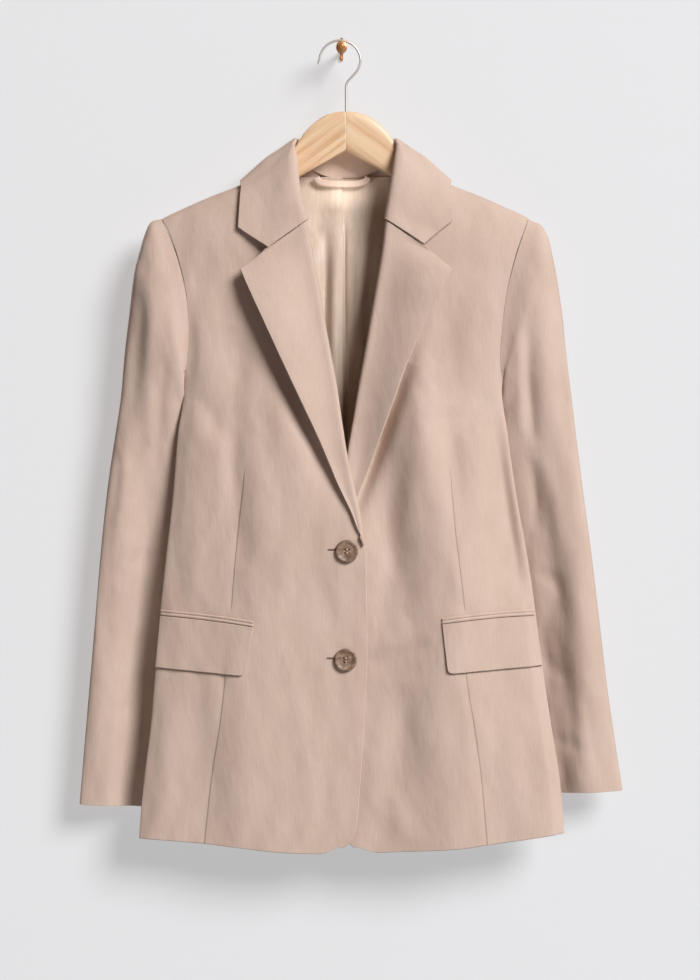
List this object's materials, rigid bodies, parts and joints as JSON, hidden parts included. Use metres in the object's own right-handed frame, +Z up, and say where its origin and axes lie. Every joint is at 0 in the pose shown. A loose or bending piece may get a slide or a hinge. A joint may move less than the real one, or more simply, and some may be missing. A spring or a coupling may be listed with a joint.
{
  "type": "single breasted blazer on a wooden hanger and wall hook",
  "caption": "Hip-length notch-lapel blazer with jetted flap pockets, buttoned, hanging from a contoured wooden hanger on a small brass wall hook.",
  "frame": {"origin": "centre of the wall hook's plate, on the wall plane", "axes": "+Z up, -Y out of the wall, the way the blazer's front faces, and the wearer's right at -X"},
  "size_m": [0.5786, 0.0896, 0.8725],
  "materials": {
    "shell": "matt plain-weave linen blend with a faint slub",
    "lining": "smooth satin lining",
    "button": "mottled horn-look, polished",
    "hanger_wood": "pale wood, satin varnish",
    "hanger_wire": "plated steel wire",
    "wall_brass": "polished"
  },
  "bodies": {
    "root": {"front_right": "shell", "front_left": "shell", "back_right": "shell", "back_left": "shell", "upper_sleeve_right": "shell", "under_sleeve_right": "shell", "upper_sleeve_left": "shell", "under_sleeve_left": "shell", "lapel_right": "shell", "lapel_left": "shell", "collar": "shell", "pocket_jet_right": "shell", "pocket_jet_left": "shell", "pocket_flap_right": "shell", "pocket_flap_left": "shell", "hanger_loop": "shell", "lining_back": "lining", "button_upper": "button", "button_lower": "button", "hanger_arm_right": "hanger_wood", "hanger_arm_left": "hanger_wood", "hanger_hook": "hanger_wire", "wall_hook_plate": "wall_brass", "wall_hook_peg": "wall_brass", "wall_hook_drop": "wall_brass"}
  },
  "joints": []
}
